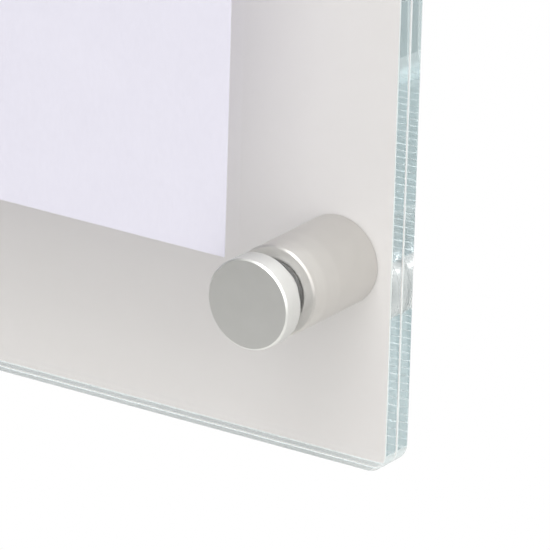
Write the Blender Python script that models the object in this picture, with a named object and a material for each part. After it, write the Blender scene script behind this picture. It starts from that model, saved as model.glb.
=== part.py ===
# Standoff acrylic poster panel. Two clear plates hold a sheet of paper between them and
# stand off the wall on four turned barrels, each closed in front by a cap that screws in.
# Metres. +X is right, +Z is up and +Y goes into the wall. The wall is the plane y = 0, and
# the origin is on it, behind the middle of the plates.

import math

import bmesh
import bpy
from mathutils import Vector

# Sheet of paper
sheet_width = 0.2032
sheet_height = 0.254
sheet_thick = 0.00016
sheet_shift_x = -0.0024  # laid a little to the left of the middle
sheet_shift_z = -0.00175  # and a little low
sheet_clearance = 0.00007  # between the sheet and each plate

# Plates
plate_thick = 0.003175
plate_corner_radius = 0.0036
plate_arris = 0.00015  # broken edge all round each face
hole_inset = 0.0254  # from the plate's edges to a standoff's axis
hole_clearance = 0.0008  # between a stud and its hole in the plates
stud_to_sheet = 0.00238  # from a stud's side to the edge of a sheet laid in the middle

# Standoffs
stud_radius = 0.00396875
stud_chamfer = 0.0006
stud_tip_gap = 0.00385  # from the stud's tip to the screw's head
socket_clearance = 0.0001  # between the stud and its socket in the cap
thread_clearance = 0.0001  # between the stud and the barrel's bore
cap_thick = 0.00397
cap_skin = 0.0013  # metal left in front of the stud's socket
barrel_length = 0.01905
barrel_wall = 0.00386875
barrel_floor = 0.0035
back_relief_depth = 0.0005  # round the screw's hole, so that a proud plug doesn't lift the barrel
back_relief_margin = 0.0003  # between the relief's rim and the plug's ribs
edge_chamfer = 0.0004  # on the front rims of the cap and the barrel
face_gap = 0.0001  # between a plate and the metal or washer that clamps it

# Soft washers, let into the cap's back and the barrel's front
washer_thick = 0.0007
washer_band = 0.00105
washer_bore_clearance = 0.0003
washer_side_gap = 0.00055
washer_seat_gap = 0.0001

# Wall screws and plugs
screw_radius = 0.00175
screw_hole_clearance = 0.0003
screw_head_height = 0.0022
screw_head_crown = 0.0006
screw_head_side_gap = 0.001
screw_seat_gap = 0.0001
screw_bite = 0.0275  # how far the screw goes into the wall
screw_point = 0.005
slot_width = 0.0009
slot_depth = 0.0013
slot_margin = 0.0012  # metal left outside the cross slots' ends
plug_wall = 0.0011
plug_length = 0.025
plug_depth = 0.0003  # from the wall's face to the plug's mouth
plug_collar = 0.006  # the plug's smooth part
plug_split = 0.0008
plug_split_lead = 0.0012  # how far the split reaches into the collar
plug_rib_height = 0.0004
plug_rib_count = 5
plug_bore_clearance = 0.00015

# Facets
turned_steps = 48
small_steps = 24
plug_steps = 16
hole_steps = 24
corner_steps = 8

# Sizes that follow from those above
bore_radius = stud_radius + thread_clearance
standoff_radius = bore_radius + barrel_wall
washer_inner = stud_radius + washer_bore_clearance
washer_outer = washer_inner + washer_band
recess_radius = washer_outer + washer_side_gap
recess_depth = washer_thick + washer_seat_gap
plate_hole_radius = stud_radius + hole_clearance
sheet_margin = hole_inset + stud_radius + stud_to_sheet
plate_width = sheet_width + 2 * sheet_margin
plate_height = sheet_height + 2 * sheet_margin
axis_x = plate_width / 2 - hole_inset
axis_z = plate_height / 2 - hole_inset
screw_head_radius = bore_radius - screw_head_side_gap
screw_hole_radius = screw_radius + screw_hole_clearance
plug_inner = screw_radius + plug_bore_clearance
plug_outer = plug_inner + plug_wall
back_relief_radius = plug_outer + plug_rib_height + back_relief_margin

# Places along Y, from the wall forwards
barrel_front = -barrel_length
rear_plate_back = barrel_front - face_gap
rear_plate_front = rear_plate_back - plate_thick
sheet_back = rear_plate_front - sheet_clearance
sheet_front = sheet_back - sheet_thick
front_plate_back = sheet_front - sheet_clearance
front_plate_front = front_plate_back - plate_thick
cap_back = front_plate_front - face_gap
cap_front = cap_back - cap_thick
screw_head_back = -barrel_floor - screw_seat_gap
screw_head_front = screw_head_back - screw_head_height
stud_tip = screw_head_front - stud_tip_gap
socket_bottom = cap_front + cap_skin

corners = {
    "top_left": (-axis_x, axis_z),
    "top_right": (axis_x, axis_z),
    "bottom_left": (-axis_x, -axis_z),
    "bottom_right": (axis_x, -axis_z),
}


def clear_scene():
    for old in list(bpy.data.objects):
        bpy.data.objects.remove(old, do_unlink=True)


def material(name, color, roughness, metallic=0.0, alpha=1.0):
    made = bpy.data.materials.new(name)
    made.use_nodes = True
    shader = made.node_tree.nodes["Principled BSDF"]
    shader.inputs["Base Color"].default_value = (*color, 1.0)
    shader.inputs["Roughness"].default_value = roughness
    shader.inputs["Metallic"].default_value = metallic
    shader.inputs["Alpha"].default_value = alpha
    return made


def finished_mesh(name, bm, look):
    """Turns the faces outwards, shades the round ones smooth and gives the mesh its material."""
    bmesh.ops.remove_doubles(bm, verts=bm.verts, dist=1e-7)
    bmesh.ops.recalc_face_normals(bm, faces=bm.faces)
    mesh = bpy.data.meshes.new(name)
    bm.to_mesh(mesh)
    bm.free()
    mesh.shade_smooth()
    mesh.set_sharp_from_angle(angle=math.radians(30))
    mesh.materials.append(look)
    return mesh


def add_object(name, mesh, parent=None, location=(0.0, 0.0, 0.0)):
    made = bpy.data.objects.new(name, mesh)
    bpy.context.scene.collection.objects.link(made)
    made.parent = parent
    made.location = location
    return made


def turned_mesh(name, profile, steps, look):
    """A solid turned about Y from (radius, y) points. The profile closes on itself, or starts
    and ends on the axis."""
    bm = bmesh.new()
    rings = []
    for radius, y in profile:
        if radius == 0.0:
            rings.append([bm.verts.new((0.0, y, 0.0))])
            continue
        angles = [2 * math.pi * i / steps for i in range(steps)]
        rings.append([bm.verts.new((radius * math.cos(a), y, radius * math.sin(a))) for a in angles])
    closed = profile[0][0] > 0.0
    pairs = list(zip(rings, rings[1:] + rings[:1])) if closed else list(zip(rings, rings[1:]))
    for low, high in pairs:
        for i in range(steps):
            j = (i + 1) % steps
            around = [low[i % len(low)], low[j % len(low)], high[j % len(high)], high[i % len(high)]]
            bm.faces.new(list(dict.fromkeys(around)))
    return finished_mesh(name, bm, look)


def box_mesh(name, size, look, middle=(0.0, 0.0, 0.0)):
    bm = bmesh.new()
    bmesh.ops.create_cube(bm, size=1.0)
    bmesh.ops.scale(bm, vec=size, verts=bm.verts)
    bmesh.ops.translate(bm, vec=middle, verts=bm.verts)
    return finished_mesh(name, bm, look)


def cross_mesh(name, reach, width, depth, middle, look):
    """A cross of two slots as one solid, centred on the point given."""
    long = reach / 2
    short = width / 2
    outline = []
    for dx, dz in ((1, 0), (0, 1), (-1, 0), (0, -1)):
        outline.append((dx * long + dz * short, dz * long - dx * short))
        outline.append((dx * long - dz * short, dz * long + dx * short))
        outline.append(((dx - dz) * short, (dx + dz) * short))
    bm = bmesh.new()
    ends = [[bm.verts.new((x, y, z)) for x, z in outline] for y in (-depth, depth)]
    join_loops(bm, ends[0], ends[1])
    for end in ends:
        bm.faces.new(end)
    bmesh.ops.translate(bm, vec=middle, verts=bm.verts)
    return finished_mesh(name, bm, look)


def cut(mesh, cutter):
    """The mesh with the cutter mesh taken out of it."""
    target = add_object("cut_target", mesh)
    helper = add_object("cutter", cutter)
    step = target.modifiers.new("cut", "BOOLEAN")
    step.operation = "DIFFERENCE"
    step.solver = "EXACT"
    step.object = helper
    depsgraph = bpy.context.evaluated_depsgraph_get()
    result = bpy.data.meshes.new_from_object(target.evaluated_get(depsgraph))
    for used in (target, helper):
        bpy.data.objects.remove(used, do_unlink=True)
    return result


def rounded_outline(width, height, radius):
    """Points (x, z) of a rectangle with round corners, anticlockwise as seen from the front."""
    middles = [
        (width / 2 - radius, height / 2 - radius, 0.0),
        (-width / 2 + radius, height / 2 - radius, 0.5 * math.pi),
        (-width / 2 + radius, -height / 2 + radius, math.pi),
        (width / 2 - radius, -height / 2 + radius, 1.5 * math.pi),
    ]
    points = []
    for x, z, start in middles:
        for i in range(corner_steps + 1):
            angle = start + 0.5 * math.pi * i / corner_steps
            points.append((x + radius * math.cos(angle), z + radius * math.sin(angle)))
    return points


def plate_mesh(name, front, look):
    """A plate with a round corner and a broken edge all round, and a hole for each stud."""
    back = front + plate_thick
    levels = [(front, plate_arris), (front + plate_arris, 0.0), (back - plate_arris, 0.0), (back, plate_arris)]
    bm = bmesh.new()
    loops = []
    for y, inset in levels:
        size = (plate_width - 2 * inset, plate_height - 2 * inset, plate_corner_radius - inset)
        loops.append([bm.verts.new((x, y, z)) for x, z in rounded_outline(*size)])
    face_loops = {front: [loops[0]], back: [loops[-1]]}
    for x, z in corners.values():
        angles = [2 * math.pi * i / hole_steps for i in range(hole_steps)]
        rim = [(x + plate_hole_radius * math.cos(a), z + plate_hole_radius * math.sin(a)) for a in angles]
        ends = [[bm.verts.new((px, y, pz)) for px, pz in rim] for y in (front, back)]
        face_loops[front].append(ends[0])
        face_loops[back].append(ends[1])
        join_loops(bm, ends[0], ends[1])
    for low, high in zip(loops, loops[1:]):
        join_loops(bm, low, high)
    for y, rims in face_loops.items():
        edges = []
        for rim in rims:
            edges += [bm.edges.get((a, b)) for a, b in zip(rim, rim[1:] + rim[:1])]
        bmesh.ops.triangle_fill(bm, edges=edges, normal=Vector((0.0, 1.0, 0.0)), use_beauty=True)
    return finished_mesh(name, bm, look)


def join_loops(bm, low, high):
    for i in range(len(low)):
        j = (i + 1) % len(low)
        bm.faces.new((low[i], low[j], high[j], high[i]))


def sheet_mesh(look):
    middle = (sheet_shift_x, (sheet_front + sheet_back) / 2, sheet_shift_z)
    return box_mesh("poster_sheet", (sheet_width, sheet_thick, sheet_height), look, middle)


def cap_mesh(look):
    """Disc with a chamfered rim. Its back has the washer's recess and the stud's blind socket."""
    socket_radius = stud_radius + socket_clearance
    profile = [
        (0.0, cap_front),
        (standoff_radius - edge_chamfer, cap_front),
        (standoff_radius, cap_front + edge_chamfer),
        (standoff_radius, cap_back),
        (recess_radius, cap_back),
        (recess_radius, cap_back - recess_depth),
        (socket_radius, cap_back - recess_depth),
        (socket_radius, socket_bottom),
        (0.0, socket_bottom),
    ]
    return turned_mesh("cap", profile, turned_steps, look)


def stud_mesh(look):
    """Plain rod at the thread's outer size, fixed in the cap and screwed into the barrel."""
    head = socket_bottom + socket_clearance
    profile = [
        (0.0, head),
        (stud_radius - stud_chamfer, head),
        (stud_radius, head + stud_chamfer),
        (stud_radius, stud_tip - stud_chamfer),
        (stud_radius - stud_chamfer, stud_tip),
        (0.0, stud_tip),
    ]
    return turned_mesh("cap_stud", profile, small_steps, look)


def washer_mesh(name, low, look):
    high = low + washer_thick
    profile = [(washer_inner, low), (washer_outer, low), (washer_outer, high), (washer_inner, high)]
    return turned_mesh(name, profile, small_steps, look)


def barrel_mesh(look):
    """Tube with a floor at the wall. The stud screws into its bore, and the wall screw's head
    sits on its floor. Its back is relieved round the screw's hole."""
    profile = [
        (standoff_radius, 0.0),
        (standoff_radius, barrel_front + edge_chamfer),
        (standoff_radius - edge_chamfer, barrel_front),
        (recess_radius, barrel_front),
        (recess_radius, barrel_front + recess_depth),
        (bore_radius, barrel_front + recess_depth),
        (bore_radius, -barrel_floor),
        (screw_hole_radius, -barrel_floor),
        (screw_hole_radius, -back_relief_depth),
        (back_relief_radius, -back_relief_depth),
        (back_relief_radius, 0.0),
    ]
    return turned_mesh("barrel", profile, turned_steps, look)


def screw_mesh(look):
    """Pan head with a cross slot, and a shank that ends in a point."""
    profile = [
        (0.0, screw_head_front),
        (screw_head_radius - screw_head_crown, screw_head_front),
        (screw_head_radius, screw_head_front + screw_head_crown),
        (screw_head_radius, screw_head_back),
        (screw_radius, screw_head_back),
        (screw_radius, screw_bite - screw_point),
        (0.0, screw_bite),
    ]
    plain = turned_mesh("wall_screw_plain", profile, small_steps, look)
    reach = 2 * (screw_head_radius - slot_margin)
    middle = (0.0, screw_head_front, 0.0)
    return cut(plain, cross_mesh("cross_slot", reach, slot_width, slot_depth, middle, look))


def plug_mesh(look):
    """Ribbed sleeve, split from inside its collar to its inner end."""
    end = plug_depth + plug_length
    collar_end = plug_depth + plug_collar
    profile = [(plug_inner, end), (plug_inner, plug_depth), (plug_outer, plug_depth), (plug_outer, collar_end)]
    pitch = (plug_length - plug_collar) / plug_rib_count
    for i in range(plug_rib_count):
        start = collar_end + i * pitch
        profile += [(plug_outer + plug_rib_height, start), (plug_outer, start + pitch)]
    plain = turned_mesh("wall_plug_plain", profile, plug_steps, look)
    width = 2 * (plug_outer + 2 * plug_rib_height)
    split_length = 2 * (plug_length - plug_collar + plug_split_lead)
    middle = (0.0, end, 0.0)
    split = box_mesh("split", (width, split_length, plug_split), look, middle)
    return cut(plain, split)


def build():
    clear_scene()
    acrylic = material("clear_acrylic", (0.93, 0.97, 0.97), 0.02, alpha=0.35)
    paper = material("poster_paper", (0.82, 0.80, 0.88), 0.75)
    aluminium = material("satin_aluminium", (0.60, 0.61, 0.59), 0.35, metallic=1.0)
    steel = material("zinc_steel", (0.55, 0.55, 0.56), 0.30, metallic=1.0)
    rubber = material("washer_rubber", (0.42, 0.42, 0.40), 0.60)
    nylon = material("plug_nylon", (0.62, 0.62, 0.60), 0.55)

    add_object("front_plate", plate_mesh("front_plate", front_plate_front, acrylic))
    add_object("poster_sheet", sheet_mesh(paper))
    add_object("rear_plate", plate_mesh("rear_plate", rear_plate_front, acrylic))

    # The four standoffs are alike, so each piece has one mesh, set on four axes
    pieces = {
        "cap": cap_mesh(aluminium),
        "cap_stud": stud_mesh(steel),
        "cap_washer": washer_mesh("cap_washer", cap_back - washer_thick, rubber),
        "barrel_washer": washer_mesh("barrel_washer", barrel_front, rubber),
        "barrel": barrel_mesh(aluminium),
        "wall_screw": screw_mesh(steel),
        "wall_plug": plug_mesh(nylon),
    }
    for corner, (x, z) in corners.items():
        axis = add_object("standoff_axis_" + corner, None, location=(x, 0.0, z))
        for piece, mesh in pieces.items():
            add_object(piece + "_" + corner, mesh, parent=axis)


build()
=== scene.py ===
import math

import bmesh
import bpy
from mathutils import Matrix, Vector


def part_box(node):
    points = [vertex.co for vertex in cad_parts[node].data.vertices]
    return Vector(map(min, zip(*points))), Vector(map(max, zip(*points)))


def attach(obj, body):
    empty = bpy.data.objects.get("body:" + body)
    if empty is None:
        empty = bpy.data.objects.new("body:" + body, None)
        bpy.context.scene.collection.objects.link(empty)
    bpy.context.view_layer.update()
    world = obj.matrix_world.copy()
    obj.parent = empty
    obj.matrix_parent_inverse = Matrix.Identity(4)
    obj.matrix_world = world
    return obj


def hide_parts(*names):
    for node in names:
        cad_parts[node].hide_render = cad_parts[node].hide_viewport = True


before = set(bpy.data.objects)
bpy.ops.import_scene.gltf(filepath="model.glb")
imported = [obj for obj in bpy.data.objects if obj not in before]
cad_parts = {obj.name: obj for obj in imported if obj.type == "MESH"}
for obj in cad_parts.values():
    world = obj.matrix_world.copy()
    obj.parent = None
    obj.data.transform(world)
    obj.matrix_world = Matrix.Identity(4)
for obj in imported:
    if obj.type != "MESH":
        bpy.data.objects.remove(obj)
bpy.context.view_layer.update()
corners = ["top_left", "top_right", "bottom_left", "bottom_right"]
print("frame loaded:", len(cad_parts), "solids")


camera = {
    "azimuth": 33.2009,  # degrees to the right of the panel's front
    "elevation": 20.4651,
    "roll": 1.6221,
    "distance": 1.32799,
    "aim": (0.001105, -0.023466, 0.003611),  # from the lower right standoff's axis on the wall
    "lens": 526.0,
    "clip": (0.05, 60.0),
}


def makeCamera():
    azimuth, elevation, roll = (math.radians(camera[k]) for k in ("azimuth", "elevation", "roll"))
    back = Vector((
        math.sin(azimuth) * math.cos(elevation),
        -math.cos(azimuth) * math.cos(elevation),
        math.sin(elevation),
    ))
    side = Vector((math.cos(azimuth), math.sin(azimuth), 0.0))
    up = back.cross(side)
    turnedSide = math.cos(roll) * side + math.sin(roll) * up
    turnedUp = -math.sin(roll) * side + math.cos(roll) * up
    data = bpy.data.cameras.new("photo_camera")
    data.lens = camera["lens"]
    data.clip_start, data.clip_end = camera["clip"]
    made = bpy.data.objects.new("photo_camera", data)
    bpy.context.scene.collection.objects.link(made)
    turn = Matrix((turnedSide, turnedUp, back)).transposed().to_4x4()
    low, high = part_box("cap_bottom_right")
    axis = Vector(((low.x + high.x) / 2, 0.0, (low.z + high.z) / 2))
    where = axis + Vector(camera["aim"]) + back * camera["distance"]
    made.matrix_world = Matrix.Translation(where) @ turn
    bpy.context.scene.camera = made


makeCamera()
print("camera placed")


def link(tree, source, target):
    tree.links.new(source, target)


def addNode(tree, kind, **values):
    made = tree.nodes.new(kind)
    for key, value in values.items():
        setattr(made, key, value)
    return made


def mathNode(tree, operation, first, second=None, third=None, clamp=False):
    made = addNode(tree, "ShaderNodeMath", operation=operation, use_clamp=clamp)
    for i, value in enumerate((first, second, third)):
        if value is None:
            continue
        if isinstance(value, (int, float)):
            made.inputs[i].default_value = value
        else:
            link(tree, value, made.inputs[i])
    return made.outputs[0]


def newMaterial(name, viewColor):
    made = bpy.data.materials.new(name)
    made.use_nodes = True
    made.diffuse_color = (*viewColor, 1.0)
    shader = made.node_tree.nodes["Principled BSDF"]
    return made, made.node_tree, shader


def newGroup(name, inputs, outputs):
    group = bpy.data.node_groups.new(name, "ShaderNodeTree")
    for socketName, value in inputs.items():
        socket = group.interface.new_socket(socketName, in_out="INPUT", socket_type="NodeSocketFloat")
        socket.default_value = value
    for socketName, kind in outputs.items():
        group.interface.new_socket(socketName, in_out="OUTPUT", socket_type="NodeSocket" + kind)
    source = group.nodes.new("NodeGroupInput")
    result = group.nodes.new("NodeGroupOutput")
    return group, source.outputs, result.inputs


def place(tree, group, **values):
    made = addNode(tree, "ShaderNodeGroup", node_tree=group)
    for key, value in values.items():
        made.inputs[key].default_value = value
    return made


# Fine speckle at two sizes, for blasted metal, moulded nylon, rubber and the saw-cut edge
def makeGrainGroup():
    group, given, result = newGroup(
        "fineGrain",
        {"Grain Size": 0.0002, "Patch Size": 0.004, "Patch Share": 0.3},
        {"Height": "Float", "Tone": "Float"},
    )
    where = addNode(group, "ShaderNodeTexCoord").outputs["Object"]
    noises = []
    for key, detail in (("Grain Size", 2.0), ("Patch Size", 3.0)):
        noise = addNode(group, "ShaderNodeTexNoise")
        noise.inputs["Detail"].default_value = detail
        link(group, where, noise.inputs["Vector"])
        link(group, mathNode(group, "DIVIDE", 1.0, given[key]), noise.inputs["Scale"])
        noises.append(noise.outputs["Fac"])
    mixed = addNode(group, "ShaderNodeMix", data_type="FLOAT")
    link(group, given["Patch Share"], mixed.inputs["Factor"])
    link(group, noises[0], mixed.inputs["A"])
    link(group, noises[1], mixed.inputs["B"])
    link(group, noises[0], result["Height"])
    link(group, mixed.outputs["Result"], result["Tone"])
    return group


toneReach = (0.35, 0.65)  # where the values of a noise mostly lie


# Spreads a tone between two values, so that each material says how far it varies
def makeSpreadGroup():
    inputs = {"Tone": 0.5, "Low": 0.0, "High": 1.0}
    group, given, result = newGroup("spread", inputs, {"Value": "Float"})
    ranged = addNode(group, "ShaderNodeMapRange")
    ranged.inputs["From Min"].default_value = toneReach[0]
    ranged.inputs["From Max"].default_value = toneReach[1]
    link(group, given["Tone"], ranged.inputs["Value"])
    link(group, given["Low"], ranged.inputs["To Min"])
    link(group, given["High"], ranged.inputs["To Max"])
    link(group, ranged.outputs["Result"], result["Value"])
    return group


grainGroup = makeGrainGroup()
spreadGroup = makeSpreadGroup()


def spreadTone(tree, tone, low=0.0, high=1.0):
    spread = place(tree, spreadGroup, Low=low, High=high)
    link(tree, tone, spread.inputs["Tone"])
    return spread.outputs["Value"]


def tonedColor(tree, tone, dark, light, target):
    ramp = addNode(tree, "ShaderNodeMix", data_type="RGBA")
    ramp.inputs["A"].default_value = (*dark, 1.0)
    ramp.inputs["B"].default_value = (*light, 1.0)
    link(tree, tone, ramp.inputs["Factor"])
    link(tree, ramp.outputs["Result"], target)


def bumped(tree, height, look, target):
    bump = addNode(tree, "ShaderNodeBump")
    bump.inputs["Strength"].default_value = look["bumpStrength"]
    bump.inputs["Distance"].default_value = look["bump"]
    link(tree, height, bump.inputs["Height"])
    link(tree, bump.outputs["Normal"], target)


# How squarely a turned face looks to the front: the chamfers in between, and the flat front ends
turnedFaces = {"chamfer": 0.7, "chamferReach": 0.15, "frontEnd": 0.9}


# A plain finish whose colour and roughness drift with the grain
def grainedMaterial(name, look):
    made, tree, shader = newMaterial(name, look["light"])
    grain = place(tree, grainGroup, **{"Grain Size": look["grain"], "Patch Size": look["patch"]})
    tone = spreadTone(tree, grain.outputs["Tone"])
    tonedColor(tree, tone, look["dark"], look["light"], shader.inputs["Base Color"])
    rough = spreadTone(tree, grain.outputs["Tone"], *look["roughness"])
    link(tree, rough, shader.inputs["Roughness"])
    bumped(tree, grain.outputs["Height"], look, shader.inputs["Normal"])
    shader.inputs["Metallic"].default_value = look["metallic"]
    if "chamferRoughness" in look:  # a turned chamfer shines more than the blasted faces beside it
        facing = addNode(tree, "ShaderNodeSeparateXYZ")
        link(tree, addNode(tree, "ShaderNodeNewGeometry").outputs["True Normal"], facing.inputs[0])
        toFront = mathNode(tree, "MULTIPLY", facing.outputs["Y"], -1.0)
        slanted = mathNode(tree, "COMPARE", toFront, turnedFaces["chamfer"], turnedFaces["chamferReach"])
        turned = addNode(tree, "ShaderNodeMix", data_type="FLOAT")
        link(tree, slanted, turned.inputs["Factor"])
        link(tree, rough, turned.inputs["A"])
        turned.inputs["B"].default_value = look["chamferRoughness"]
        link(tree, turned.outputs["Result"], shader.inputs["Roughness"])
        # Flat front ends get their own metallic share, and their colour is scaled there as painted
        # shading: darker on the cap's face as painted shade, paler on the barrel's as painted light
        frontEnd = mathNode(tree, "GREATER_THAN", toFront, turnedFaces["frontEnd"])
        change = look["frontEndMetallic"] - look["metallic"]
        metallic = mathNode(tree, "MULTIPLY_ADD", frontEnd, change, look["metallic"])
        link(tree, metallic, shader.inputs["Metallic"])
        shade = mathNode(tree, "MULTIPLY_ADD", frontEnd, look["frontEndPaintedShading"] - 1.0, 1.0)
        shaded = addNode(tree, "ShaderNodeVectorMath", operation="SCALE")
        link(tree, shader.inputs["Base Color"].links[0].from_socket, shaded.inputs[0])
        link(tree, shade, shaded.inputs["Scale"])
        link(tree, shaded.outputs[0], shader.inputs["Base Color"])
    return made


# On the cap, the flat front face's colour is scaled down from its side's, a painted shade
aluminiumLook = {
    "dark": (0.865, 0.875, 0.86), "light": (0.925, 0.935, 0.92), "metallic": 1.0,
    "roughness": (0.40, 0.48), "grain": 0.00009, "patch": 0.003, "bump": 0.000006, "bumpStrength": 0.6,
    "chamferRoughness": 0.3, "frontEndMetallic": 1.0, "frontEndPaintedShading": 0.79,
}
# The barrel is the cap's aluminium painted darker, a painted shade; its front end, left as it was faced
# off, is duller than its blasted side and painted paler, a painted light
barrelPaintedShadeLook = {
    **aluminiumLook, "dark": (0.68, 0.67, 0.645), "light": (0.74, 0.725, 0.70),
    "frontEndMetallic": 0.4, "frontEndPaintedShading": 1.05,
}
steelLook = {
    "dark": (0.50, 0.50, 0.49), "light": (0.62, 0.62, 0.61), "metallic": 1.0,
    "roughness": (0.24, 0.38), "grain": 0.0002, "patch": 0.0015, "bump": 0.000008, "bumpStrength": 0.5,
}
rubberLook = {
    "dark": (0.09, 0.09, 0.088), "light": (0.13, 0.13, 0.126), "metallic": 0.0,
    "roughness": (0.55, 0.7), "grain": 0.00015, "patch": 0.001, "bump": 0.00001, "bumpStrength": 0.5,
}
nylonLook = {
    "dark": (0.55, 0.55, 0.53), "light": (0.63, 0.63, 0.61), "metallic": 0.0,
    "roughness": (0.42, 0.56), "grain": 0.0003, "patch": 0.002, "bump": 0.00001, "bumpStrength": 0.4,
}
satinAluminium = grainedMaterial("satin_aluminium_finish", aluminiumLook)
satinBarrelPaintedShade = grainedMaterial("satin_barrel_painted_shade_finish", barrelPaintedShadeLook)
zincSteel = grainedMaterial("zinc_steel_finish", steelLook)
softRubber = grainedMaterial("soft_rubber_finish", rubberLook)
greyNylon = grainedMaterial("grey_nylon_finish", nylonLook)


paperLook = {
    "dark": (0.855, 0.845, 0.965), "light": (0.89, 0.88, 1.0),
    "roughness": (0.78, 0.9), "specular": 0.3,
    "fibre": 0.0004, "fibreShape": (1.0, 1.0, 0.35), "fibreDetail": 4.0,
    "speck": 0.001, "cloud": 0.012, "cloudShare": 0.7,
    "bump": 0.00001, "bumpStrength": 0.5, "shineThrough": 0.04,
}


# Blank coated stock: short fibres one way, with a faint cloudiness
def makePaperMaterial():
    made, tree, shader = newMaterial("blank_paper_finish", paperLook["light"])
    where = addNode(tree, "ShaderNodeTexCoord").outputs["Object"]
    stretch = addNode(tree, "ShaderNodeMapping")
    stretch.inputs["Scale"].default_value = paperLook["fibreShape"]
    link(tree, where, stretch.inputs["Vector"])
    fibre = addNode(tree, "ShaderNodeTexNoise")
    fibre.inputs["Scale"].default_value = 1.0 / paperLook["fibre"]
    fibre.inputs["Detail"].default_value = paperLook["fibreDetail"]
    link(tree, stretch.outputs["Vector"], fibre.inputs["Vector"])
    cloud = place(tree, grainGroup, **{
        "Grain Size": paperLook["speck"], "Patch Size": paperLook["cloud"],
        "Patch Share": paperLook["cloudShare"],
    })
    both = mathNode(tree, "ADD", fibre.outputs["Fac"], cloud.outputs["Tone"])
    tone = spreadTone(tree, mathNode(tree, "MULTIPLY", both, 0.5))
    tonedColor(tree, tone, paperLook["dark"], paperLook["light"], shader.inputs["Base Color"])
    rough = spreadTone(tree, fibre.outputs["Fac"], *paperLook["roughness"])
    link(tree, rough, shader.inputs["Roughness"])
    bumped(tree, fibre.outputs["Fac"], paperLook, shader.inputs["Normal"])
    shader.inputs["Specular IOR Level"].default_value = paperLook["specular"]
    through = addNode(tree, "ShaderNodeBsdfTranslucent")
    through.inputs["Color"].default_value = (*paperLook["light"], 1.0)
    mixed = addNode(tree, "ShaderNodeMixShader")
    mixed.inputs[0].default_value = paperLook["shineThrough"]
    link(tree, shader.outputs[0], mixed.inputs[1])
    link(tree, through.outputs[0], mixed.inputs[2])
    link(tree, mixed.outputs[0], tree.nodes["Material Output"].inputs["Surface"])
    return made


acrylicLook = {
    "ior": 1.49, "viewColor": (0.9, 0.96, 0.97),
    # How far a face turns sideways from the flat of the plate where the cut edge starts and its
    # scraped arris ends, and how far it looks along both sides at once on a routed corner
    "edgeStart": 0.15, "arrisEnd": 0.6, "cornerStart": 0.1,
    "letThrough": (0.98, 0.98, 0.98),  # of a lamp's light, at each face
    "waterColor": (0.14, 0.74, 0.92),  # what a long way inside the plate leaves of white
    "density": 0.4,
    "sawPitch": 0.0017,  # between the saw's marks along the cut edges
    "sawSlant": 0.45, "sawDetail": 2.0, "sawSharpness": 4.0,
    "bump": 0.0000001, "bumpStrength": 1.0,
    "edgeRoughness": (0.0, 0.02),
    "holeReach": 0.0055,  # from a hole's axis, how far its drilled, frosted wall counts
    "holeRoughness": 0.3,
    "holeWhite": (0.98, 0.98, 0.98), "holeFrost": 0.6,  # and how much of it is white scratches
    "edgeMilk": (0.34, 0.48, 0.51), "edgeFrost": 0.28,  # the cut edges' faint milkiness
    "arrisMilk": (0.86, 0.94, 0.95), "arrisFrost": 0.6,  # paler where they are scraped
    "cornerMilk": (0.82, 0.89, 0.90), "cornerFrost": 0.45,  # and where the corners are routed round
}


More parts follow.
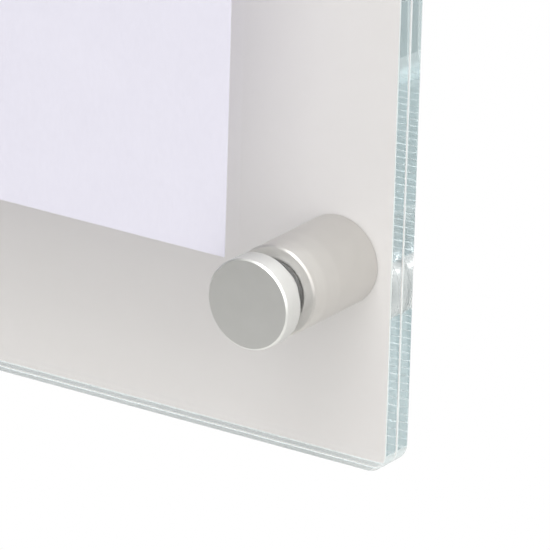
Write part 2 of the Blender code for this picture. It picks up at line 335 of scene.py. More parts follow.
# Clear plate: polished faces, and cut edges with the fine slanted marks of the saw
def makeAcrylicMaterial():
    made, tree, shader = newMaterial("clear_acrylic_finish", acrylicLook["viewColor"])
    shader.inputs["Base Color"].default_value = (1.0, 1.0, 1.0, 1.0)
    shader.inputs["Metallic"].default_value = 0.0
    shader.inputs["IOR"].default_value = acrylicLook["ior"]
    shader.inputs["Transmission Weight"].default_value = 1.0
    facing = addNode(tree, "ShaderNodeSeparateXYZ")
    link(tree, addNode(tree, "ShaderNodeNewGeometry").outputs["True Normal"], facing.inputs[0])
    flat = mathNode(tree, "ABSOLUTE", facing.outputs["Y"])
    sideways = mathNode(tree, "SUBTRACT", 1.0, flat, clamp=True)
    edge = mathNode(tree, "GREATER_THAN", sideways, acrylicLook["edgeStart"])
    low = mathNode(tree, "LESS_THAN", sideways, acrylicLook["arrisEnd"])
    scraped = mathNode(tree, "MULTIPLY", edge, low)
    bothWays = mathNode(tree, "MULTIPLY", facing.outputs["X"], facing.outputs["Z"])
    bothWays = mathNode(tree, "ABSOLUTE", bothWays)
    rounded = mathNode(tree, "GREATER_THAN", bothWays, acrylicLook["cornerStart"])

    where = addNode(tree, "ShaderNodeSeparateXYZ")
    link(tree, addNode(tree, "ShaderNodeTexCoord").outputs["Object"], where.inputs[0])
    along = mathNode(tree, "ADD", where.outputs["X"], where.outputs["Z"])
    slanted = mathNode(tree, "MULTIPLY_ADD", where.outputs["Y"], acrylicLook["sawSlant"], along)
    marks = addNode(tree, "ShaderNodeTexNoise", noise_dimensions="1D")
    marks.inputs["Detail"].default_value = acrylicLook["sawDetail"]
    link(tree, mathNode(tree, "DIVIDE", slanted, acrylicLook["sawPitch"]), marks.inputs["W"])
    marks.inputs["Scale"].default_value = 1.0
    narrow = mathNode(tree, "POWER", marks.outputs["Fac"], acrylicLook["sawSharpness"])
    height = mathNode(tree, "MULTIPLY", narrow, edge)
    beside = [mathNode(tree, "SUBTRACT", mathNode(tree, "ABSOLUTE", where.outputs[k]), abs(spot))
              for k, spot in zip("XZ", holeAxes[0])]
    across = mathNode(tree, "MULTIPLY", beside[1], beside[1])
    square = mathNode(tree, "MULTIPLY_ADD", beside[0], beside[0], across)
    drilled = mathNode(tree, "LESS_THAN", mathNode(tree, "SQRT", square), acrylicLook["holeReach"])
    bumped(tree, height, acrylicLook, shader.inputs["Normal"])
    rough = spreadTone(tree, marks.outputs["Fac"], *acrylicLook["edgeRoughness"])
    frosted = addNode(tree, "ShaderNodeMix", data_type="FLOAT")
    link(tree, drilled, frosted.inputs["Factor"])
    link(tree, rough, frosted.inputs["A"])
    frosted.inputs["B"].default_value = acrylicLook["holeRoughness"]
    link(tree, mathNode(tree, "MULTIPLY", frosted.outputs["Result"], edge), shader.inputs["Roughness"])

    milk, frost = None, None
    for mask, color, share in (
        (edge, acrylicLook["edgeMilk"], acrylicLook["edgeFrost"]),
        (rounded, acrylicLook["cornerMilk"], acrylicLook["cornerFrost"]),
        (scraped, acrylicLook["arrisMilk"], acrylicLook["arrisFrost"]),
        (drilled, acrylicLook["holeWhite"], acrylicLook["holeFrost"]),
    ):
        tint = addNode(tree, "ShaderNodeMix", data_type="RGBA")
        amount = addNode(tree, "ShaderNodeMix", data_type="FLOAT")
        for mix, value, before in ((tint, (*color, 1.0), milk), (amount, share, frost)):
            link(tree, mask, mix.inputs["Factor"])
            mix.inputs["B"].default_value = value
            if before:
                link(tree, before, mix.inputs["A"])
        milk, frost = tint.outputs["Result"], amount.outputs["Result"]
    scratched = addNode(tree, "ShaderNodeBsdfDiffuse")
    link(tree, milk, scratched.inputs["Color"])
    bored = addNode(tree, "ShaderNodeMixShader")
    link(tree, mathNode(tree, "MULTIPLY", frost, edge), bored.inputs[0])
    link(tree, shader.outputs[0], bored.inputs[1])
    link(tree, scratched.outputs[0], bored.inputs[2])

    # Lamps and bounced light go straight through, so that the wall behind is lit softly
    path = addNode(tree, "ShaderNodeLightPath")
    straight = mathNode(tree, "MAXIMUM", path.outputs["Is Shadow Ray"], path.outputs["Is Diffuse Ray"])
    clear = addNode(tree, "ShaderNodeBsdfTransparent")
    clear.inputs["Color"].default_value = (*acrylicLook["letThrough"], 1.0)
    mixed = addNode(tree, "ShaderNodeMixShader")
    link(tree, straight, mixed.inputs[0])
    link(tree, bored.outputs[0], mixed.inputs[1])
    link(tree, clear.outputs[0], mixed.inputs[2])
    output = tree.nodes["Material Output"]
    link(tree, mixed.outputs[0], output.inputs["Surface"])
    volume = addNode(tree, "ShaderNodeVolumeAbsorption")
    volume.inputs["Color"].default_value = (*acrylicLook["waterColor"], 1.0)
    volume.inputs["Density"].default_value = acrylicLook["density"]
    link(tree, volume.outputs[0], output.inputs["Volume"])
    return made


# Where the solids say each thing is
def sizeOf(node):
    low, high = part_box(node)
    middle = (low + high) / 2
    return {
        "x": middle.x, "z": middle.z, "axis": (middle.x, 0.0, middle.z), "front": low.y, "back": high.y,
        "radius": (high.x - low.x) / 2, "width": high.x - low.x, "height": high.z - low.z,
    }


barrelSpots = {corner: sizeOf("barrel_" + corner) for corner in corners}
holeAxes = [(spot["x"], spot["z"]) for spot in barrelSpots.values()]
blankPaper = makePaperMaterial()
clearAcrylic = makeAcrylicMaterial()
print("materials made:", len(bpy.data.materials))


def addObject(name, mesh):
    made = bpy.data.objects.new(name, mesh)
    bpy.context.scene.collection.objects.link(made)
    return made


meshRules = {"merge": 1e-6, "shortest": 1e-7, "sharpAngle": 30.0, "filletShare": 0.45}


# Merges doubles, turns faces outwards and keeps corners above the angle crisp
def tidyMesh(mesh):
    bm = bmesh.new()
    bm.from_mesh(mesh)
    bmesh.ops.remove_doubles(bm, verts=bm.verts, dist=meshRules["merge"])
    bmesh.ops.dissolve_degenerate(bm, edges=bm.edges, dist=meshRules["shortest"])
    bmesh.ops.recalc_face_normals(bm, faces=bm.faces)
    openEdges = sum(1 for edge in bm.edges if len(edge.link_faces) != 2)
    bm.to_mesh(mesh)
    bm.free()
    mesh.shade_smooth()
    mesh.set_sharp_from_angle(angle=math.radians(meshRules["sharpAngle"]))
    if openEdges:
        print("open edges in", mesh.name, openEdges)
    return mesh


def meshFromBmesh(name, bm, material):
    mesh = bpy.data.meshes.new(name)
    bm.to_mesh(mesh)
    bm.free()
    mesh.materials.append(material)
    return mesh


# Rounds the corners of a chain of (radius, along, fillet) points into plain (radius, along) rows
def filleted(points, steps=5, closed=False):
    rows = []
    count = len(points)
    for i, (radius, along, fillet) in enumerate(points):
        here = Vector((radius, along))
        if fillet == 0.0 or (not closed and i in (0, count - 1)):
            rows.append((radius, along))
            continue
        before = Vector(points[i - 1][:2]) - here
        after = Vector(points[(i + 1) % count][:2]) - here
        half = before.angle(after) / 2
        most = meshRules["filletShare"]  # of the shorter neighbour, so that two fillets never meet
        reach = min(fillet / math.tan(half), most * before.length, most * after.length)
        start = here + before.normalized() * reach
        end = here + after.normalized() * reach
        inward = (before.normalized() + after.normalized()).normalized()
        middle = here + inward * (reach / math.cos(half))
        radiusNow = (start - middle).length
        first = start - middle
        sweep = first.angle_signed(end - middle)
        for k in range(steps + 1):
            angle = -sweep * k / steps
            turned = Vector((
                first.x * math.cos(angle) - first.y * math.sin(angle),
                first.x * math.sin(angle) + first.y * math.cos(angle),
            ))
            point = middle + turned.normalized() * radiusNow
            rows.append((point.x, point.y))
    if closed:
        rows.append(rows[0])
    return rows


# Every turned piece follows one rule: its profile's rows go round the axis, and where a thread
# is cut, a row's radius falls from crest to root with the helix
def makeTurnedTree():
    tree = bpy.data.node_groups.new("turnedPiece", "GeometryNodeTree")
    tree.is_modifier = True
    sockets = [
        ("Profile", "Geometry", None), ("Steps", "Int", 96), ("Axis", "Vector", (0.0, 0.0, 0.0)),
        ("Thread Radius", "Float", 1.0), ("Thread Depth", "Float", 0.0), ("Thread Pitch", "Float", 0.001),
        ("Thread Start", "Float", 0.0), ("Thread End", "Float", 0.0), ("Thread Fade", "Float", 0.001),
        ("Crest Flat", "Float", 0.12), ("Root Flat", "Float", 0.12), ("Finish", "Material", None),
    ]
    for name, kind, value in sockets:
        socket = tree.interface.new_socket(name, in_out="INPUT", socket_type="NodeSocket" + kind)
        if value is not None:
            socket.default_value = value
    tree.interface.new_socket("Piece", in_out="OUTPUT", socket_type="NodeSocketGeometry")
    given = tree.nodes.new("NodeGroupInput").outputs
    result = tree.nodes.new("NodeGroupOutput")

    def calc(operation, first, second=None, third=None):
        return mathNode(tree, operation, first, second, third)

    size = addNode(tree, "GeometryNodeAttributeDomainSize")
    link(tree, given["Profile"], size.inputs[0])
    rows = size.outputs["Point Count"]
    grid = addNode(tree, "GeometryNodeMeshGrid")
    link(tree, calc("ADD", given["Steps"], 1.0), grid.inputs["Vertices X"])
    link(tree, rows, grid.inputs["Vertices Y"])
    index = addNode(tree, "GeometryNodeInputIndex").outputs[0]
    column = calc("FLOOR", calc("DIVIDE", calc("ADD", index, 0.5), rows))
    row = calc("SUBTRACT", index, calc("MULTIPLY", column, rows))
    sample = addNode(tree, "GeometryNodeSampleIndex", data_type="FLOAT_VECTOR", domain="POINT")
    link(tree, given["Profile"], sample.inputs["Geometry"])
    link(tree, addNode(tree, "GeometryNodeInputPosition").outputs[0], sample.inputs["Value"])
    link(tree, row, sample.inputs["Index"])
    split = addNode(tree, "ShaderNodeSeparateXYZ")
    link(tree, sample.outputs[0], split.inputs[0])
    radius, along = split.outputs["X"], split.outputs["Y"]

    turn = calc("DIVIDE", column, given["Steps"])
    turns = calc("ADD", turn, 200.0)  # whole turns ahead, so that the phase never goes below zero
    phase = calc("FRACT", calc("ADD", calc("DIVIDE", along, given["Thread Pitch"]), turns))
    saw = calc("ABSOLUTE", calc("MULTIPLY_ADD", phase, 2.0, -1.0))
    slope = calc("SUBTRACT", calc("SUBTRACT", 1.0, given["Crest Flat"]), given["Root Flat"])
    cut = calc("DIVIDE", calc("SUBTRACT", saw, given["Crest Flat"]), slope)
    cut = calc("MINIMUM", calc("MAXIMUM", cut, 0.0), 1.0)
    rise = calc("DIVIDE", calc("SUBTRACT", along, given["Thread Start"]), given["Thread Fade"])
    fall = calc("DIVIDE", calc("SUBTRACT", given["Thread End"], along), given["Thread Fade"])
    inside = calc("MINIMUM", calc("MAXIMUM", calc("MINIMUM", rise, fall), 0.0), 1.0)
    threaded = calc("SUBTRACT", given["Thread Radius"],
                    calc("MULTIPLY", given["Thread Depth"], calc("MULTIPLY", cut, inside)))
    outside = calc("GREATER_THAN", radius, calc("ADD", given["Thread Radius"], meshRules["merge"]))
    kept = calc("MAXIMUM", calc("MINIMUM", radius, threaded), calc("MULTIPLY", radius, outside))

    angle = calc("MULTIPLY", turn, 2 * math.pi)
    position = addNode(tree, "ShaderNodeCombineXYZ")
    link(tree, calc("MULTIPLY", kept, calc("COSINE", angle)), position.inputs["X"])
    link(tree, along, position.inputs["Y"])
    link(tree, calc("MULTIPLY", kept, calc("SINE", angle)), position.inputs["Z"])
    moved = addNode(tree, "ShaderNodeVectorMath", operation="ADD")
    link(tree, position.outputs[0], moved.inputs[0])
    link(tree, given["Axis"], moved.inputs[1])
    put = addNode(tree, "GeometryNodeSetPosition")
    link(tree, grid.outputs["Mesh"], put.inputs["Geometry"])
    link(tree, moved.outputs[0], put.inputs["Position"])
    merge = addNode(tree, "GeometryNodeMergeByDistance")
    merge.inputs["Distance"].default_value = meshRules["merge"]
    link(tree, put.outputs[0], merge.inputs[0])
    realize = addNode(tree, "GeometryNodeRealizeInstances")
    link(tree, merge.outputs[0], realize.inputs[0])
    finish = addNode(tree, "GeometryNodeSetMaterial")
    link(tree, realize.outputs[0], finish.inputs["Geometry"])
    link(tree, given["Finish"], finish.inputs["Material"])
    link(tree, finish.outputs[0], result.inputs[0])
    return tree


turnedTree = makeTurnedTree()


def setInputs(modifier, tree, values):
    ids = {item.name: item.identifier for item in tree.interface.items_tree if item.in_out == "INPUT"}
    for name, value in values.items():
        modifier[ids[name]] = value


# Turns a profile about a standoff's axis and returns the plain mesh
def turnedMesh(name, rows, axis, material, steps, **thread):
    profile = bpy.data.meshes.new(name + "_profile")
    chain = [(i, i + 1) for i in range(len(rows) - 1)]
    profile.from_pydata([(r, y, 0.0) for r, y in rows], chain, [])
    helper = addObject(name + "_helper", profile)
    modifier = helper.modifiers.new("turned", "NODES")
    modifier.node_group = turnedTree
    setInputs(modifier, turnedTree, {"Steps": steps, "Axis": axis, "Finish": material, **thread})
    depsgraph = bpy.context.evaluated_depsgraph_get()
    mesh = bpy.data.meshes.new_from_object(helper.evaluated_get(depsgraph))
    helper.modifiers.remove(modifier)
    bpy.data.objects.remove(helper, do_unlink=True)
    mesh.name = name
    return tidyMesh(mesh)


# A solid cut out of another by the Boolean modifier
def carve(mesh, cutter):
    target = addObject("carve_target", mesh)
    tool = addObject("carve_tool", cutter)
    modifier = target.modifiers.new("carve", "BOOLEAN")
    modifier.operation = "DIFFERENCE"
    modifier.solver = "EXACT"
    modifier.object = tool
    depsgraph = bpy.context.evaluated_depsgraph_get()
    made = bpy.data.meshes.new_from_object(target.evaluated_get(depsgraph))
    for used in (target, tool):
        bpy.data.objects.remove(used, do_unlink=True)
    name = mesh.name
    for used in (mesh, cutter):
        bpy.data.meshes.remove(used)
    made.name = name
    return tidyMesh(made)


def evenly(start, end, spacing):
    count = max(2, int(round(abs(end - start) / spacing)))
    return [start + (end - start) * i / count for i in range(count + 1)]


cap = {
    "steps": 160, "chamfer": 0.00032, "edgeRound": 0.00006, "rearBreak": 0.00012,
    "recessRadius": 0.00586875, "recessDepth": 0.0008, "socketRadius": 0.00406875, "skin": 0.0013,
}
stud = {
    "steps": 72, "tipChamfer": 0.0006, "plainShank": 0.0022,
    "pitch": 0.0254 / 18, "depth": 0.00075, "rowsPerTurn": 12,
    "fade": 0.7, "overrun": 0.01,  # turns in which the thread grows, and its reach past the tip
}
barrel = {
    "steps": 160, "chamfer": 0.00032, "edgeRound": 0.00006, "rearBreak": 0.00015,
    "recessRadius": 0.00586875, "recessDepth": 0.0008, "boreRadius": 0.00406875, "floor": 0.0035,
    "screwHole": 0.00205, "reliefRadius": 0.0037, "reliefDepth": 0.0005,
    "threadLead": 0.0004, "threadEnd": 0.0062,
}
washer = {"steps": 96, "hole": 0.00426875, "edgeRound": 0.00022}
wallScrew = {
    "steps": 48, "shank": 0.00175, "point": 0.005,
    "threadPitch": 0.0016, "threadDepth": 0.00055, "rowsPerTurn": 12, "crestFlat": 0.06, "rootFlat": 0.42,
    "neck": 0.002, "threadLead": 0.0045, "threadTip": 0.0008,
    "crown": 0.0009, "crownSteps": 8, "headHeight": 0.0022, "headBreak": 0.0001,
    "recessReach": 0.0019, "recessWidth": 0.0009, "recessDepth": 0.0013,
    "recessLead": 0.0006,  # how far the cutter starts before the head
    "recessMouth": 1.25, "recessFloor": 0.62,  # and its share of the recess's width at each end
}
wallPlug = {
    "steps": 48, "bore": 0.0019, "wall": 0.0011, "collar": 0.006, "mouthRound": 0.0002,
    "ribs": 5, "rib": 0.0004, "ribLead": 0.0001, "ribRound": 0.0001, "valleyRound": 0.00005,
    "roundSteps": 3, "split": 0.0008, "splitLead": 0.0012, "splitReach": 0.01,
}


def makeCap(corner, spot):
    edge = cap["edgeRound"]
    rows = filleted([
        (0.0, spot["front"], 0.0),
        (spot["radius"] - cap["chamfer"], spot["front"], edge),
        (spot["radius"], spot["front"] + cap["chamfer"], edge),
        (spot["radius"], spot["back"], cap["rearBreak"]),
        (cap["recessRadius"], spot["back"], edge),
        (cap["recessRadius"], spot["back"] - cap["recessDepth"], edge),
        (cap["socketRadius"], spot["back"] - cap["recessDepth"], edge),
        (cap["socketRadius"], spot["front"] + cap["skin"], edge),
        (0.0, spot["front"] + cap["skin"], 0.0),
    ])
    return turnedMesh("satin_cap_" + corner, rows, spot["axis"], satinAluminium, cap["steps"])


# The thread that the studs and the barrels share
def threadOf(radius, start, end):
    return {
        "Thread Radius": radius, "Thread Depth": stud["depth"], "Thread Pitch": stud["pitch"],
        "Thread Start": start, "Thread End": end, "Thread Fade": stud["fade"] * stud["pitch"],
    }


# The shank is plain in the cap's socket and threaded from there to its tip
def makeStud(corner, spot):
    crest = spot["radius"]
    start = spot["front"] + stud["plainShank"]
    spacing = stud["pitch"] / stud["rowsPerTurn"]
    rows = [(0.0, spot["front"]), (crest - stud["tipChamfer"], spot["front"])]
    rows += [(crest, spot["front"] + stud["tipChamfer"])]
    rows += [(crest, y) for y in evenly(start, spot["back"] - stud["tipChamfer"], spacing)]
    for y in evenly(spot["back"] - stud["tipChamfer"], spot["back"], spacing)[1:]:
        rows.append((crest - (y - spot["back"] + stud["tipChamfer"]), y))
    rows.append((0.0, spot["back"]))
    return turnedMesh(
        "threaded_stud_" + corner, rows, spot["axis"], zincSteel, stud["steps"],
        **threadOf(crest, start, spot["back"] + stud["overrun"]),
    )


# The bore carries the same thread as the stud, so that the two stay in step as the cap turns
def makeBarrel(corner, spot):
    edge = barrel["edgeRound"]
    front, back, bore = spot["front"], spot["back"], barrel["boreRadius"]
    seat = front + barrel["recessDepth"]
    threadStart, threadEnd = seat + barrel["threadLead"], back - barrel["threadEnd"]
    rows = filleted([
        (barrel["reliefRadius"], back, edge),
        (spot["radius"], back, barrel["rearBreak"]),
        (spot["radius"], front + barrel["chamfer"], edge),
        (spot["radius"] - barrel["chamfer"], front, edge),
        (barrel["recessRadius"], front, edge),
        (barrel["recessRadius"], seat, edge),
        (bore, seat, edge),
        (bore, threadStart, 0.0),
        (bore, threadEnd, 0.0),
        (bore, back - barrel["floor"], edge),
        (barrel["screwHole"], back - barrel["floor"], edge),
        (barrel["screwHole"], back - barrel["reliefDepth"], edge),
        (barrel["reliefRadius"], back - barrel["reliefDepth"], edge),
    ], closed=True)
    first = rows.index((bore, threadStart))
    spacing = stud["pitch"] / stud["rowsPerTurn"]
    rows[first:first + 2] = [(bore, y) for y in evenly(threadStart, threadEnd, spacing)]
    return turnedMesh(
        "satin_barrel_" + corner, rows, spot["axis"], satinBarrelPaintedShade, barrel["steps"],
        **threadOf(bore, threadStart, threadEnd),
    )


def makeWasher(name, spot):
    soft = washer["edgeRound"]
    rows = filleted([
        (washer["hole"], spot["front"], soft), (spot["radius"], spot["front"], soft),
        (spot["radius"], spot["back"], soft), (washer["hole"], spot["back"], soft),
    ], closed=True)
    return turnedMesh(name, rows, spot["axis"], softRubber, washer["steps"])


# Cross recess that narrows towards its bottom
def makeCrossCutter(spot):
    bm = bmesh.new()
    rings = []
    mouth = (-wallScrew["recessLead"], wallScrew["recessMouth"])
    floor = (wallScrew["recessDepth"], wallScrew["recessFloor"])
    for depth, share in (mouth, floor):
        reach, half = wallScrew["recessReach"] * share, wallScrew["recessWidth"] * share / 2
        ring = []
        for dx, dz in ((1, 0), (0, 1), (-1, 0), (0, -1)):
            ring.append((dx * reach + dz * half, dz * reach - dx * half))
            ring.append((dx * reach - dz * half, dz * reach + dx * half))
            ring.append(((dx - dz) * half, (dx + dz) * half))
        y = spot["front"] + depth
        rings.append([bm.verts.new((spot["x"] + x, y, spot["z"] + z)) for x, z in ring])
    for i in range(len(rings[0])):
        j = (i + 1) % len(rings[0])
        bm.faces.new((rings[0][i], rings[0][j], rings[1][j], rings[1][i]))
    bm.faces.new(rings[0])
    bm.faces.new(rings[1])
    bmesh.ops.recalc_face_normals(bm, faces=bm.faces)
    return meshFromBmesh("cross_cutter", bm, zincSteel)


def makeWallScrew(corner, spot):
    head, shank, front, tip = spot["radius"], wallScrew["shank"], spot["front"], spot["back"]
    headBack = front + wallScrew["headHeight"]
    crown, steps, edge = wallScrew["crown"], wallScrew["crownSteps"], wallScrew["headBreak"]
    rows = [(0.0, front)]
    for i in range(steps + 1):  # the pan head's round shoulder
        angle = 0.5 * math.pi * i / steps
        rows.append((head - crown + crown * math.sin(angle), front + crown * (1 - math.cos(angle))))
    rows += [(head, headBack - edge), (head - edge, headBack), (shank, headBack)]
    spacing = wallScrew["threadPitch"] / wallScrew["rowsPerTurn"]
    rows += [(shank, y) for y in evenly(headBack + wallScrew["neck"], tip - wallScrew["point"], spacing)]
    for y in evenly(tip - wallScrew["point"], tip, spacing)[1:-1]:
        rows.append((shank * (tip - y) / wallScrew["point"], y))
    rows.append((0.0, tip))
    plain = turnedMesh(
        "wall_screw_threaded_" + corner, rows, spot["axis"], zincSteel, wallScrew["steps"],
        **{"Thread Radius": shank, "Thread Depth": wallScrew["threadDepth"],
           "Thread Pitch": wallScrew["threadPitch"], "Thread Fade": wallScrew["threadPitch"],
           "Thread Start": headBack + wallScrew["threadLead"], "Thread End": tip - wallScrew["threadTip"],
           "Crest Flat": wallScrew["crestFlat"], "Root Flat": wallScrew["rootFlat"]},
    )
    return carve(plain, makeCrossCutter(spot))


def makeWallPlug(corner, spot):
    bore, outer = wallPlug["bore"], wallPlug["bore"] + wallPlug["wall"]
    front, back = spot["front"], spot["back"]
    collarEnd = front + wallPlug["collar"]
    pitch = (back - collarEnd) / wallPlug["ribs"]
    mouth, valley = wallPlug["mouthRound"], wallPlug["valleyRound"]
    points = [(bore, back, 0.0), (bore, front, mouth), (outer, front, mouth), (outer, collarEnd, valley)]
    for i in range(wallPlug["ribs"]):
        start = collarEnd + i * pitch
        points.append((outer + wallPlug["rib"], start + wallPlug["ribLead"], wallPlug["ribRound"]))
        points.append((outer, start + pitch, valley if i < wallPlug["ribs"] - 1 else 0.0))
    rows = filleted(points, steps=wallPlug["roundSteps"], closed=True)
    plain = turnedMesh("ribbed_plug_" + corner, rows, spot["axis"], greyNylon, wallPlug["steps"])
    bm = bmesh.new()
    bmesh.ops.create_cube(bm, size=1.0)
    length = 2 * (back - collarEnd + wallPlug["splitLead"])
    bmesh.ops.scale(bm, vec=(wallPlug["splitReach"], length, wallPlug["split"]), verts=bm.verts)
    bmesh.ops.translate(bm, vec=(spot["x"], back, spot["z"]), verts=bm.verts)
    return carve(plain, meshFromBmesh("split_cutter", bm, greyNylon))


plate = {
    "cornerRadius": 0.0036, "cornerSteps": 20, "holeRadius": 0.00476875, "holeSteps": 96,
    "arris": 0.00012, "holeArris": 0.7,  # a hole's arris, as a share of the outline's
}


def plateOutline(halfWidth, halfHeight, radius):
    points = []
    steps = plate["cornerSteps"]
    for quarter, (sx, sz) in enumerate(((1, 1), (-1, 1), (-1, -1), (1, -1))):
        for i in range(steps + 1):
            angle = 0.5 * math.pi * (quarter + i / steps)
            points.append((
                sx * (halfWidth - radius) + radius * math.cos(angle),
                sz * (halfHeight - radius) + radius * math.sin(angle),
            ))
    return points


def joinRings(bm, low, high):
    for i in range(len(low)):
        j = (i + 1) % len(low)
        bm.faces.new((low[i], low[j], high[j], high[i]))


# A plate with broken edges round its outline and round each of its four holes
def makePlate(name, spot, axes):
    bm = bmesh.new()
    arris, front, back = plate["arris"], spot["front"], spot["back"]
    levels = ((front, arris), (front + arris, 0.0), (back - arris, 0.0), (back, arris))
    outer = []
    for y, inset in levels:
        halfWidth, halfHeight = spot["width"] / 2 - inset, spot["height"] / 2 - inset
        outline = plateOutline(halfWidth, halfHeight, plate["cornerRadius"] - inset)
        outer.append([bm.verts.new((spot["x"] + x, y, spot["z"] + z)) for x, z in outline])
    for low, high in zip(outer, outer[1:]):
        joinRings(bm, low, high)
    faceRings = {0: [outer[0]], 1: [outer[-1]]}
    steps = plate["holeSteps"]
    angles = [2 * math.pi * i / steps for i in range(steps)]
    for x, z in axes:
        rings = []
        for y, inset in levels:
            radius = plate["holeRadius"] + plate["holeArris"] * inset
            points = [(x + radius * math.cos(a), y, z + radius * math.sin(a)) for a in angles]
            rings.append([bm.verts.new(point) for point in points])
        for low, high in zip(rings, rings[1:]):
            joinRings(bm, low, high)
        faceRings[0].append(rings[0])
        faceRings[1].append(rings[-1])
    for rings in faceRings.values():
        edges = []
        for ring in rings:
            edges += [bm.edges.get((a, b)) for a, b in zip(ring, ring[1:] + ring[:1])]
        bmesh.ops.triangle_fill(bm, edges=edges, normal=(0.0, 1.0, 0.0), use_beauty=True)
    return tidyMesh(meshFromBmesh(name, bm, clearAcrylic))


def addPiece(name, mesh, body, node):
    made = addObject(name, mesh)
    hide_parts(node)
    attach(made, body)


for side in ("front", "rear"):
    node = side + "_plate"
    name = "clear_" + node
    addPiece(name, makePlate(name, sizeOf(node), holeAxes), "panel", node)
print("plates made")

for corner in corners:
    spots = {part: sizeOf(part + "_" + corner) for part in
             ("cap", "cap_stud", "cap_washer", "barrel_washer", "wall_screw", "wall_plug")}
    screwBody, slideBody = "cap_screw_" + corner, "cap_slide_" + corner
    capWasher = makeWasher("soft_cap_washer_" + corner, spots["cap_washer"])
    barrelWasher = makeWasher("soft_barrel_washer_" + corner, spots["barrel_washer"])
    made = [
        (makeCap(corner, spots["cap"]), screwBody, "cap", "satin_aluminium"),
        (makeStud(corner, spots["cap_stud"]), screwBody, "cap_stud", "zinc_steel"),
        (capWasher, slideBody, "cap_washer", "washer_rubber"),
        (makeBarrel(corner, barrelSpots[corner]), "panel", "barrel", "satin_aluminium"),
        (barrelWasher, "panel", "barrel_washer", "washer_rubber"),
        (makeWallScrew(corner, spots["wall_screw"]), "panel", "wall_screw", "zinc_steel"),
        (makeWallPlug(corner, spots["wall_plug"]), "panel", "wall_plug", "plug_nylon"),
    ]
    for mesh, body, part, slotName in made:
        addPiece(mesh.name, mesh, body, part + "_" + corner)
    print("standoff made:", corner)

# The sheet of paper is the solid itself, with its own finish
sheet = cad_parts["poster_sheet"]
for materialSlot in sheet.material_slots:
    materialSlot.material = blankPaper


room = {
    "wallGap": 0.0002, "wallSize": 3.0, "floorDrop": 0.9,
    "wallColor": (0.80, 0.785, 0.775), "floorColor": (0.78, 0.78, 0.77),
    "wallWhite": 1.0, "floorWhite": 0.8,  # how much of each is plain white for the camera
    "wallGlow": 0.05,  # added to the wall's paint where it is seen through the plates or in metal
    "wallFill": 0.2,  # and where it lights the sheet's rear, which the wall keeps dark
}
paintLook = {
    "grain": 0.0015, "patch": 0.05, "drift": 0.985, "roughness": 0.9, "specular": 0.1,
    "bump": 0.00005, "bumpStrength": 0.3,
}


# Pale paint: white for the camera, and as it is lit, with its shadows, through the plates and in metal
def makeRoomMaterial(name, color, cameraWhite, extraGlow=0.0, fill=0.0, hidesBehind=False):
    made, tree, shader = newMaterial(name, color)
    grain = place(tree, grainGroup, **{"Grain Size": paintLook["grain"], "Patch Size": paintLook["patch"]})
    tone = spreadTone(tree, grain.outputs["Tone"])
    dark = [c * paintLook["drift"] for c in color]
    tonedColor(tree, tone, dark, color, shader.inputs["Base Color"])
    shader.inputs["Roughness"].default_value = paintLook["roughness"]
    shader.inputs["Specular IOR Level"].default_value = paintLook["specular"]
    bumped(tree, grain.outputs["Height"], paintLook, shader.inputs["Normal"])
    path = addNode(tree, "ShaderNodeLightPath")
    glow = addNode(tree, "ShaderNodeEmission")
    inGlass = mathNode(tree, "MAXIMUM", path.outputs["Is Glossy Ray"], path.outputs["Is Transmission Ray"])
    filled = mathNode(tree, "MULTIPLY", path.outputs["Is Diffuse Ray"], fill)
    link(tree, mathNode(tree, "MULTIPLY_ADD", inGlass, extraGlow, filled), glow.inputs["Strength"])
    lit = addNode(tree, "ShaderNodeAddShader")
    link(tree, shader.outputs[0], lit.inputs[0])
    link(tree, glow.outputs[0], lit.inputs[1])
    white = addNode(tree, "ShaderNodeEmission")
    mixed = addNode(tree, "ShaderNodeMixShader")
    link(tree, mathNode(tree, "MULTIPLY", path.outputs["Is Camera Ray"], cameraWhite), mixed.inputs[0])
    link(tree, lit.outputs[0], mixed.inputs[1])
    link(tree, white.outputs[0], mixed.inputs[2])
    surface = mixed.outputs[0]
    if hidesBehind:
        clear = addNode(tree, "ShaderNodeBsdfTransparent")
        opened = addNode(tree, "ShaderNodeMixShader")
        link(tree, addNode(tree, "ShaderNodeNewGeometry").outputs["Backfacing"], opened.inputs[0])
        link(tree, surface, opened.inputs[1])
        link(tree, clear.outputs[0], opened.inputs[2])
        surface = opened.outputs[0]
    link(tree, surface, tree.nodes["Material Output"].inputs["Surface"])
    return made


def makeFlat(name, points, material):
    mesh = bpy.data.meshes.new(name)
    mesh.from_pydata(points, [], [tuple(range(len(points)))])
    mesh.materials.append(material)
    made = addObject(name, mesh)


def makeRoom():
    half, drop, gap = room["wallSize"] / 2, room["floorDrop"], room["wallGap"]
    wallPaint = makeRoomMaterial(
        "pale_wall_paint", room["wallColor"], room["wallWhite"],
        extraGlow=room["wallGlow"], fill=room["wallFill"], hidesBehind=True,
    )
    floorPaint = makeRoomMaterial("pale_floor_paint", room["floorColor"], room["floorWhite"])
    wallPoints = [(-half, gap, -drop), (half, gap, -drop), (half, gap, half), (-half, gap, half)]
    makeFlat("wall", wallPoints, wallPaint)  # faces the room, and is open when seen from behind
    floorPoints = [(-half, -half, -drop), (half, -half, -drop), (half, gap, -drop), (-half, gap, -drop)]
    makeFlat("floor", floorPoints, floorPaint)


makeRoom()

lamps = {
    "top": {"place": (0.3, -1.0, 1.6), "aim": (0.0, -0.02, -0.05), "size": 1.0, "power": 9.5},
}


def makeLamps():
    for name, lamp in lamps.items():
        data = bpy.data.lights.new(name, "AREA")
        data.size = lamp["size"]
        data.energy = lamp["power"]
        made = bpy.data.objects.new(name, data)
        bpy.context.scene.collection.objects.link(made)
        made.location = lamp["place"]
        toward = Vector(lamp["aim"]) - Vector(lamp["place"])
        made.rotation_euler = toward.to_track_quat("-Z", "Y").to_euler()


makeLamps()

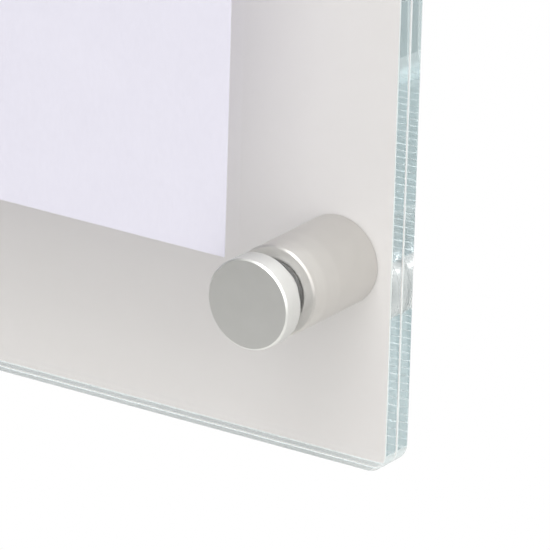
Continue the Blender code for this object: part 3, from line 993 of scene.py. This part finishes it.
sky = {"level": 0.363, "tint": (1.0, 0.985, 0.965)}
# Wide soft sources round the room: which way each lies, how bright it is and how tightly it is gathered
glows = {
    "right": {"toward": (0.7, -0.7, 0.0), "strength": 0.21, "tightness": 3.0},
    "highRight": {"toward": (0.55, -0.55, 0.6), "strength": 1.68, "tightness": 3.0},
    "lowLeft": {"toward": (-0.51, -0.79, -0.34), "strength": 0.08, "tightness": 20.0},
    "left": {"toward": (-0.51, -0.79, 0.34), "strength": 0.08, "tightness": 20.0},
    "highLeft": {"toward": (-0.51, -0.35, 0.78), "strength": 0.5, "tightness": 30.0},
}


# White for the camera, and a soft studio glow for everything else
def makeWorld():
    world = bpy.data.worlds.new("studio")
    bpy.context.scene.world = world
    world.use_nodes = True
    tree = world.node_tree
    tree.nodes.clear()
    direction = addNode(tree, "ShaderNodeTexCoord").outputs["Generated"]
    total = sky["level"]
    for glow in glows.values():
        facing = addNode(tree, "ShaderNodeVectorMath", operation="DOT_PRODUCT")
        link(tree, direction, facing.inputs[0])
        facing.inputs[1].default_value = Vector(glow["toward"]).normalized()
        lobe = mathNode(tree, "MAXIMUM", facing.outputs["Value"], 0.0)
        lobe = mathNode(tree, "POWER", lobe, glow["tightness"])
        total = mathNode(tree, "MULTIPLY_ADD", lobe, glow["strength"], total)
    soft = addNode(tree, "ShaderNodeBackground")
    soft.inputs["Color"].default_value = (*sky["tint"], 1.0)
    link(tree, total, soft.inputs["Strength"])
    white = addNode(tree, "ShaderNodeBackground")
    white.inputs["Color"].default_value = (1.0, 1.0, 1.0, 1.0)
    mixed = addNode(tree, "ShaderNodeMixShader")
    link(tree, addNode(tree, "ShaderNodeLightPath").outputs["Is Camera Ray"], mixed.inputs[0])
    link(tree, soft.outputs[0], mixed.inputs[1])
    link(tree, white.outputs[0], mixed.inputs[2])
    link(tree, mixed.outputs[0], addNode(tree, "ShaderNodeOutputWorld").inputs["Surface"])


makeWorld()

scene = bpy.context.scene
scene.view_settings.view_transform = "Standard"
# Light goes a long way inside the plates before it leaves at an edge
bounces = {"insidePlates": 140, "straightThrough": 32}
scene.cycles.max_bounces = bounces["insidePlates"]
scene.cycles.glossy_bounces = bounces["insidePlates"]
scene.cycles.transmission_bounces = bounces["insidePlates"]
scene.cycles.transparent_max_bounces = bounces["straightThrough"]
print("room and light made")
